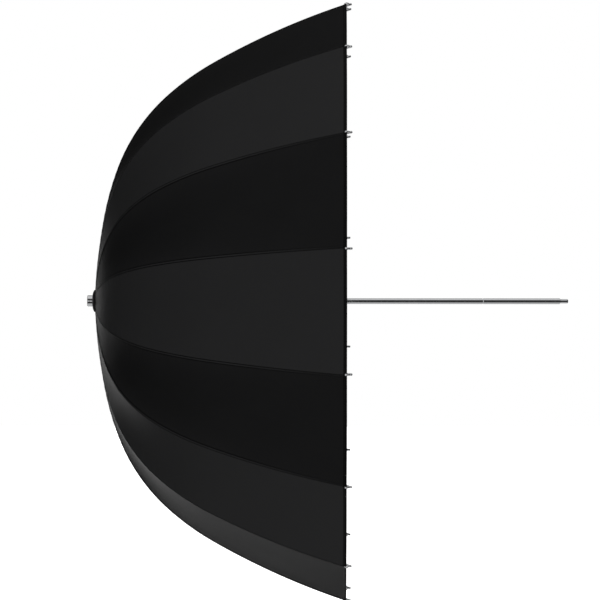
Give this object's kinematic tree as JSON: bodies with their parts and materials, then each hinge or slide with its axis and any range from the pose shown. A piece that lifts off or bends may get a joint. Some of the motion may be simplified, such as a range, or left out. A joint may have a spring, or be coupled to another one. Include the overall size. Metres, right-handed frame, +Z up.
{
  "type": "umbrella reflector",
  "caption": "Deep cup-shaped reflector for a studio light: cloth panels on ribs that fold forward along a straight round shaft when the runner slides back.",
  "frame": {"origin": "on the shaft's centre line, at the near end of the bare stretch of shaft that a lamp's umbrella clamp grips", "axes": "+X runs along the shaft to its free end and out of the mouth of the canopy; +Z up; the canopy is centred on X with a panel facing +Z"},
  "size_m": [0.6807, 0.8356, 0.8356],
  "materials": {
    "chrome": "polished chrome plate",
    "bright_metal": "turned, bright",
    "spring_steel": "drawn spring steel",
    "black_plastic": "moulded, satin",
    "fibreglass": "pultruded rod, semi-gloss",
    "painted_arm": "black stove enamel",
    "canopy_cloth": "black woven nylon, satin",
    "canopy_lining": "white woven lining, slight sheen"
  },
  "bodies": {
    "frame": {"shaft_tube": "chrome", "shaft_end_plug": "chrome", "notch_hub": "bright_metal", "notch_wire": "spring_steel", "notch_pin": "spring_steel", "ferrule_nut": "chrome", "rosette_cap": "black_plastic", "catch_pin": "spring_steel", "canopy": "canopy_cloth"},
    "runner": {"runner": "black_plastic", "runner_wire": "spring_steel"},
    "catch": {"catch_spring": "spring_steel"},
    "rib_inner_01": {"rib_inner_01": "fibreglass"},
    "rib_outer_01": {"rib_outer_01": "fibreglass"},
    "stretcher_01": {"stretcher_01": "painted_arm"},
    "rib_inner_02": {"rib_inner_02": "fibreglass"},
    "rib_outer_02": {"rib_outer_02": "fibreglass"},
    "stretcher_02": {"stretcher_02": "painted_arm"},
    "rib_inner_03": {"rib_inner_03": "fibreglass"},
    "rib_outer_03": {"rib_outer_03": "fibreglass"},
    "stretcher_03": {"stretcher_03": "painted_arm"},
    "rib_inner_04": {"rib_inner_04": "fibreglass"},
    "rib_outer_04": {"rib_outer_04": "fibreglass"},
    "stretcher_04": {"stretcher_04": "painted_arm"},
    "rib_inner_05": {"rib_inner_05": "fibreglass"},
    "rib_outer_05": {"rib_outer_05": "fibreglass"},
    "stretcher_05": {"stretcher_05": "painted_arm"},
    "rib_inner_06": {"rib_inner_06": "fibreglass"},
    "rib_outer_06": {"rib_outer_06": "fibreglass"},
    "stretcher_06": {"stretcher_06": "painted_arm"},
    "rib_inner_07": {"rib_inner_07": "fibreglass"},
    "rib_outer_07": {"rib_outer_07": "fibreglass"},
    "stretcher_07": {"stretcher_07": "painted_arm"},
    "rib_inner_08": {"rib_inner_08": "fibreglass"},
    "rib_outer_08": {"rib_outer_08": "fibreglass"},
    "stretcher_08": {"stretcher_08": "painted_arm"},
    "rib_inner_09": {"rib_inner_09": "fibreglass"},
    "rib_outer_09": {"rib_outer_09": "fibreglass"},
    "stretcher_09": {"stretcher_09": "painted_arm"},
    "rib_inner_10": {"rib_inner_10": "fibreglass"},
    "rib_outer_10": {"rib_outer_10": "fibreglass"},
    "stretcher_10": {"stretcher_10": "painted_arm"},
    "rib_inner_11": {"rib_inner_11": "fibreglass"},
    "rib_outer_11": {"rib_outer_11": "fibreglass"},
    "stretcher_11": {"stretcher_11": "painted_arm"},
    "rib_inner_12": {"rib_inner_12": "fibreglass"},
    "rib_outer_12": {"rib_outer_12": "fibreglass"},
    "stretcher_12": {"stretcher_12": "painted_arm"},
    "rib_inner_13": {"rib_inner_13": "fibreglass"},
    "rib_outer_13": {"rib_outer_13": "fibreglass"},
    "stretcher_13": {"stretcher_13": "painted_arm"},
    "rib_inner_14": {"rib_inner_14": "fibreglass"},
    "rib_outer_14": {"rib_outer_14": "fibreglass"},
    "stretcher_14": {"stretcher_14": "painted_arm"},
    "rib_inner_15": {"rib_inner_15": "fibreglass"},
    "rib_outer_15": {"rib_outer_15": "fibreglass"},
    "stretcher_15": {"stretcher_15": "painted_arm"},
    "rib_inner_16": {"rib_inner_16": "fibreglass"},
    "rib_outer_16": {"rib_outer_16": "fibreglass"},
    "stretcher_16": {"stretcher_16": "painted_arm"}
  },
  "joints": [
    {"name": "runner_slide", "type": "slide", "parent": "frame", "child": "runner", "axis": [1, 0, 0], "range_m": [0, 0.3431], "deforming": ["canopy", "catch_spring"]},
    {"name": "catch_press", "type": "hinge", "parent": "frame", "child": "catch", "pos_m": [-0.328, 0, 0], "axis": [0, -1, 0], "range_deg": [0, 5.2], "stiffness_Nm_per_rad": 0.12, "springref_deg": -6.88},
    {"name": "rib_root_01", "type": "hinge", "parent": "frame", "child": "rib_inner_01", "pos_m": [-0.5444, 0.00883, 0.00176], "axis": [0, 0.1951, -0.9808], "range_deg": [0, 71.76]},
    {"name": "rib_knee_01", "type": "hinge", "parent": "rib_inner_01", "child": "rib_outer_01", "pos_m": [-0.47869, 0.24488, 0.04871], "axis": [0, 0.1951, -0.9808], "range_deg": [-41.12, 0]},
    {"name": "arm_pivot_01", "type": "hinge", "parent": "runner", "child": "stretcher_01", "pos_m": [-0.379, 0.00981, 0.00195], "axis": [0, 0.1951, -0.9808], "range_deg": [-64.79, 0]},
    {"name": "rib_root_02", "type": "hinge", "parent": "frame", "child": "rib_inner_02", "pos_m": [-0.5444, 0.00748, 0.005], "axis": [0, 0.5556, -0.8315], "range_deg": [0, 71.76]},
    {"name": "rib_knee_02", "type": "hinge", "parent": "rib_inner_02", "child": "rib_outer_02", "pos_m": [-0.47869, 0.2076, 0.13871], "axis": [0, 0.5556, -0.8315], "range_deg": [-41.12, 0]},
    {"name": "arm_pivot_02", "type": "hinge", "parent": "runner", "child": "stretcher_02", "pos_m": [-0.379, 0.00831, 0.00556], "axis": [0, 0.5556, -0.8315], "range_deg": [-64.79, 0]},
    {"name": "rib_root_03", "type": "hinge", "parent": "frame", "child": "rib_inner_03", "pos_m": [-0.5444, 0.005, 0.00748], "axis": [0, 0.8315, -0.5556], "range_deg": [0, 71.76]},
    {"name": "rib_knee_03", "type": "hinge", "parent": "rib_inner_03", "child": "rib_outer_03", "pos_m": [-0.47869, 0.13871, 0.2076], "axis": [0, 0.8315, -0.5556], "range_deg": [-41.12, 0]},
    {"name": "arm_pivot_03", "type": "hinge", "parent": "runner", "child": "stretcher_03", "pos_m": [-0.379, 0.00556, 0.00831], "axis": [0, 0.8315, -0.5556], "range_deg": [-64.79, 0]},
    {"name": "rib_root_04", "type": "hinge", "parent": "frame", "child": "rib_inner_04", "pos_m": [-0.5444, 0.00176, 0.00883], "axis": [0, 0.9808, -0.1951], "range_deg": [0, 71.76]},
    {"name": "rib_knee_04", "type": "hinge", "parent": "rib_inner_04", "child": "rib_outer_04", "pos_m": [-0.47869, 0.04871, 0.24488], "axis": [0, 0.9808, -0.1951], "range_deg": [-41.12, 0]},
    {"name": "arm_pivot_04", "type": "hinge", "parent": "runner", "child": "stretcher_04", "pos_m": [-0.379, 0.00195, 0.00981], "axis": [0, 0.9808, -0.1951], "range_deg": [-64.79, 0]},
    {"name": "rib_root_05", "type": "hinge", "parent": "frame", "child": "rib_inner_05", "pos_m": [-0.5444, -0.00176, 0.00883], "axis": [0, 0.9808, 0.1951], "range_deg": [0, 71.76]},
    {"name": "rib_knee_05", "type": "hinge", "parent": "rib_inner_05", "child": "rib_outer_05", "pos_m": [-0.47869, -0.04871, 0.24488], "axis": [0, 0.9808, 0.1951], "range_deg": [-41.12, 0]},
    {"name": "arm_pivot_05", "type": "hinge", "parent": "runner", "child": "stretcher_05", "pos_m": [-0.379, -0.00195, 0.00981], "axis": [0, 0.9808, 0.1951], "range_deg": [-64.79, 0]},
    {"name": "rib_root_06", "type": "hinge", "parent": "frame", "child": "rib_inner_06", "pos_m": [-0.5444, -0.005, 0.00748], "axis": [0, 0.8315, 0.5556], "range_deg": [0, 71.76]},
    {"name": "rib_knee_06", "type": "hinge", "parent": "rib_inner_06", "child": "rib_outer_06", "pos_m": [-0.47869, -0.13871, 0.2076], "axis": [0, 0.8315, 0.5556], "range_deg": [-41.12, 0]},
    {"name": "arm_pivot_06", "type": "hinge", "parent": "runner", "child": "stretcher_06", "pos_m": [-0.379, -0.00556, 0.00831], "axis": [0, 0.8315, 0.5556], "range_deg": [-64.79, 0]},
    {"name": "rib_root_07", "type": "hinge", "parent": "frame", "child": "rib_inner_07", "pos_m": [-0.5444, -0.00748, 0.005], "axis": [0, 0.5556, 0.8315], "range_deg": [0, 71.76]},
    {"name": "rib_knee_07", "type": "hinge", "parent": "rib_inner_07", "child": "rib_outer_07", "pos_m": [-0.47869, -0.2076, 0.13871], "axis": [0, 0.5556, 0.8315], "range_deg": [-41.12, 0]},
    {"name": "arm_pivot_07", "type": "hinge", "parent": "runner", "child": "stretcher_07", "pos_m": [-0.379, -0.00831, 0.00556], "axis": [0, 0.5556, 0.8315], "range_deg": [-64.79, 0]},
    {"name": "rib_root_08", "type": "hinge", "parent": "frame", "child": "rib_inner_08", "pos_m": [-0.5444, -0.00883, 0.00176], "axis": [0, 0.1951, 0.9808], "range_deg": [0, 71.76]},
    {"name": "rib_knee_08", "type": "hinge", "parent": "rib_inner_08", "child": "rib_outer_08", "pos_m": [-0.47869, -0.24488, 0.04871], "axis": [0, 0.1951, 0.9808], "range_deg": [-41.12, 0]},
    {"name": "arm_pivot_08", "type": "hinge", "parent": "runner", "child": "stretcher_08", "pos_m": [-0.379, -0.00981, 0.00195], "axis": [0, 0.1951, 0.9808], "range_deg": [-64.79, 0]},
    {"name": "rib_root_09", "type": "hinge", "parent": "frame", "child": "rib_inner_09", "pos_m": [-0.5444, -0.00883, -0.00176], "axis": [0, -0.1951, 0.9808], "range_deg": [0, 71.76]},
    {"name": "rib_knee_09", "type": "hinge", "parent": "rib_inner_09", "child": "rib_outer_09", "pos_m": [-0.47869, -0.24488, -0.04871], "axis": [0, -0.1951, 0.9808], "range_deg": [-41.12, 0]},
    {"name": "arm_pivot_09", "type": "hinge", "parent": "runner", "child": "stretcher_09", "pos_m": [-0.379, -0.00981, -0.00195], "axis": [0, -0.1951, 0.9808], "range_deg": [-64.79, 0]},
    {"name": "rib_root_10", "type": "hinge", "parent": "frame", "child": "rib_inner_10", "pos_m": [-0.5444, -0.00748, -0.005], "axis": [0, -0.5556, 0.8315], "range_deg": [0, 71.76]},
    {"name": "rib_knee_10", "type": "hinge", "parent": "rib_inner_10", "child": "rib_outer_10", "pos_m": [-0.47869, -0.2076, -0.13871], "axis": [0, -0.5556, 0.8315], "range_deg": [-41.12, 0]},
    {"name": "arm_pivot_10", "type": "hinge", "parent": "runner", "child": "stretcher_10", "pos_m": [-0.379, -0.00831, -0.00556], "axis": [0, -0.5556, 0.8315], "range_deg": [-64.79, 0]},
    {"name": "rib_root_11", "type": "hinge", "parent": "frame", "child": "rib_inner_11", "pos_m": [-0.5444, -0.005, -0.00748], "axis": [0, -0.8315, 0.5556], "range_deg": [0, 71.76]},
    {"name": "rib_knee_11", "type": "hinge", "parent": "rib_inner_11", "child": "rib_outer_11", "pos_m": [-0.47869, -0.13871, -0.2076], "axis": [0, -0.8315, 0.5556], "range_deg": [-41.12, 0]},
    {"name": "arm_pivot_11", "type": "hinge", "parent": "runner", "child": "stretcher_11", "pos_m": [-0.379, -0.00556, -0.00831], "axis": [0, -0.8315, 0.5556], "range_deg": [-64.79, 0]},
    {"name": "rib_root_12", "type": "hinge", "parent": "frame", "child": "rib_inner_12", "pos_m": [-0.5444, -0.00176, -0.00883], "axis": [0, -0.9808, 0.1951], "range_deg": [0, 71.76]},
    {"name": "rib_knee_12", "type": "hinge", "parent": "rib_inner_12", "child": "rib_outer_12", "pos_m": [-0.47869, -0.04871, -0.24488], "axis": [0, -0.9808, 0.1951], "range_deg": [-41.12, 0]},
    {"name": "arm_pivot_12", "type": "hinge", "parent": "runner", "child": "stretcher_12", "pos_m": [-0.379, -0.00195, -0.00981], "axis": [0, -0.9808, 0.1951], "range_deg": [-64.79, 0]},
    {"name": "rib_root_13", "type": "hinge", "parent": "frame", "child": "rib_inner_13", "pos_m": [-0.5444, 0.00176, -0.00883], "axis": [0, -0.9808, -0.1951], "range_deg": [0, 71.76]},
    {"name": "rib_knee_13", "type": "hinge", "parent": "rib_inner_13", "child": "rib_outer_13", "pos_m": [-0.47869, 0.04871, -0.24488], "axis": [0, -0.9808, -0.1951], "range_deg": [-41.12, 0]},
    {"name": "arm_pivot_13", "type": "hinge", "parent": "runner", "child": "stretcher_13", "pos_m": [-0.379, 0.00195, -0.00981], "axis": [0, -0.9808, -0.1951], "range_deg": [-64.79, 0]},
    {"name": "rib_root_14", "type": "hinge", "parent": "frame", "child": "rib_inner_14", "pos_m": [-0.5444, 0.005, -0.00748], "axis": [0, -0.8315, -0.5556], "range_deg": [0, 71.76]},
    {"name": "rib_knee_14", "type": "hinge", "parent": "rib_inner_14", "child": "rib_outer_14", "pos_m": [-0.47869, 0.13871, -0.2076], "axis": [0, -0.8315, -0.5556], "range_deg": [-41.12, 0]},
    {"name": "arm_pivot_14", "type": "hinge", "parent": "runner", "child": "stretcher_14", "pos_m": [-0.379, 0.00556, -0.00831], "axis": [0, -0.8315, -0.5556], "range_deg": [-64.79, 0]},
    {"name": "rib_root_15", "type": "hinge", "parent": "frame", "child": "rib_inner_15", "pos_m": [-0.5444, 0.00748, -0.005], "axis": [0, -0.5556, -0.8315], "range_deg": [0, 71.76]},
    {"name": "rib_knee_15", "type": "hinge", "parent": "rib_inner_15", "child": "rib_outer_15", "pos_m": [-0.47869, 0.2076, -0.13871], "axis": [0, -0.5556, -0.8315], "range_deg": [-41.12, 0]},
    {"name": "arm_pivot_15", "type": "hinge", "parent": "runner", "child": "stretcher_15", "pos_m": [-0.379, 0.00831, -0.00556], "axis": [0, -0.5556, -0.8315], "range_deg": [-64.79, 0]},
    {"name": "rib_root_16", "type": "hinge", "parent": "frame", "child": "rib_inner_16", "pos_m": [-0.5444, 0.00883, -0.00176], "axis": [0, -0.1951, -0.9808], "range_deg": [0, 71.76]},
    {"name": "rib_knee_16", "type": "hinge", "parent": "rib_inner_16", "child": "rib_outer_16", "pos_m": [-0.47869, 0.24488, -0.04871], "axis": [0, -0.1951, -0.9808], "range_deg": [-41.12, 0]},
    {"name": "arm_pivot_16", "type": "hinge", "parent": "runner", "child": "stretcher_16", "pos_m": [-0.379, 0.00981, -0.00195], "axis": [0, -0.1951, -0.9808], "range_deg": [-64.79, 0]}
  ],
  "couplings": [
    {"joint": "rib_root_01", "follows": "runner_slide", "rad_per_m": 3.6495},
    {"joint": "rib_knee_01", "follows": "runner_slide", "rad_per_m": -2.0905},
    {"joint": "arm_pivot_01", "follows": "runner_slide", "rad_per_m": -3.2946},
    {"joint": "rib_root_02", "follows": "runner_slide", "rad_per_m": 3.6495},
    {"joint": "rib_knee_02", "follows": "runner_slide", "rad_per_m": -2.0905},
    {"joint": "arm_pivot_02", "follows": "runner_slide", "rad_per_m": -3.2946},
    {"joint": "rib_root_03", "follows": "runner_slide", "rad_per_m": 3.6495},
    {"joint": "rib_knee_03", "follows": "runner_slide", "rad_per_m": -2.0905},
    {"joint": "arm_pivot_03", "follows": "runner_slide", "rad_per_m": -3.2946},
    {"joint": "rib_root_04", "follows": "runner_slide", "rad_per_m": 3.6495},
    {"joint": "rib_knee_04", "follows": "runner_slide", "rad_per_m": -2.0905},
    {"joint": "arm_pivot_04", "follows": "runner_slide", "rad_per_m": -3.2946},
    {"joint": "rib_root_05", "follows": "runner_slide", "rad_per_m": 3.6495},
    {"joint": "rib_knee_05", "follows": "runner_slide", "rad_per_m": -2.0905},
    {"joint": "arm_pivot_05", "follows": "runner_slide", "rad_per_m": -3.2946},
    {"joint": "rib_root_06", "follows": "runner_slide", "rad_per_m": 3.6495},
    {"joint": "rib_knee_06", "follows": "runner_slide", "rad_per_m": -2.0905},
    {"joint": "arm_pivot_06", "follows": "runner_slide", "rad_per_m": -3.2946},
    {"joint": "rib_root_07", "follows": "runner_slide", "rad_per_m": 3.6495},
    {"joint": "rib_knee_07", "follows": "runner_slide", "rad_per_m": -2.0905},
    {"joint": "arm_pivot_07", "follows": "runner_slide", "rad_per_m": -3.2946},
    {"joint": "rib_root_08", "follows": "runner_slide", "rad_per_m": 3.6495},
    {"joint": "rib_knee_08", "follows": "runner_slide", "rad_per_m": -2.0905},
    {"joint": "arm_pivot_08", "follows": "runner_slide", "rad_per_m": -3.2946},
    {"joint": "rib_root_09", "follows": "runner_slide", "rad_per_m": 3.6495},
    {"joint": "rib_knee_09", "follows": "runner_slide", "rad_per_m": -2.0905},
    {"joint": "arm_pivot_09", "follows": "runner_slide", "rad_per_m": -3.2946},
    {"joint": "rib_root_10", "follows": "runner_slide", "rad_per_m": 3.6495},
    {"joint": "rib_knee_10", "follows": "runner_slide", "rad_per_m": -2.0905},
    {"joint": "arm_pivot_10", "follows": "runner_slide", "rad_per_m": -3.2946},
    {"joint": "rib_root_11", "follows": "runner_slide", "rad_per_m": 3.6495},
    {"joint": "rib_knee_11", "follows": "runner_slide", "rad_per_m": -2.0905},
    {"joint": "arm_pivot_11", "follows": "runner_slide", "rad_per_m": -3.2946},
    {"joint": "rib_root_12", "follows": "runner_slide", "rad_per_m": 3.6495},
    {"joint": "rib_knee_12", "follows": "runner_slide", "rad_per_m": -2.0905},
    {"joint": "arm_pivot_12", "follows": "runner_slide", "rad_per_m": -3.2946},
    {"joint": "rib_root_13", "follows": "runner_slide", "rad_per_m": 3.6495},
    {"joint": "rib_knee_13", "follows": "runner_slide", "rad_per_m": -2.0905},
    {"joint": "arm_pivot_13", "follows": "runner_slide", "rad_per_m": -3.2946},
    {"joint": "rib_root_14", "follows": "runner_slide", "rad_per_m": 3.6495},
    {"joint": "rib_knee_14", "follows": "runner_slide", "rad_per_m": -2.0905},
    {"joint": "arm_pivot_14", "follows": "runner_slide", "rad_per_m": -3.2946},
    {"joint": "rib_root_15", "follows": "runner_slide", "rad_per_m": 3.6495},
    {"joint": "rib_knee_15", "follows": "runner_slide", "rad_per_m": -2.0905},
    {"joint": "arm_pivot_15", "follows": "runner_slide", "rad_per_m": -3.2946},
    {"joint": "rib_root_16", "follows": "runner_slide", "rad_per_m": 3.6495},
    {"joint": "rib_knee_16", "follows": "runner_slide", "rad_per_m": -2.0905},
    {"joint": "arm_pivot_16", "follows": "runner_slide", "rad_per_m": -3.2946}
  ]
}
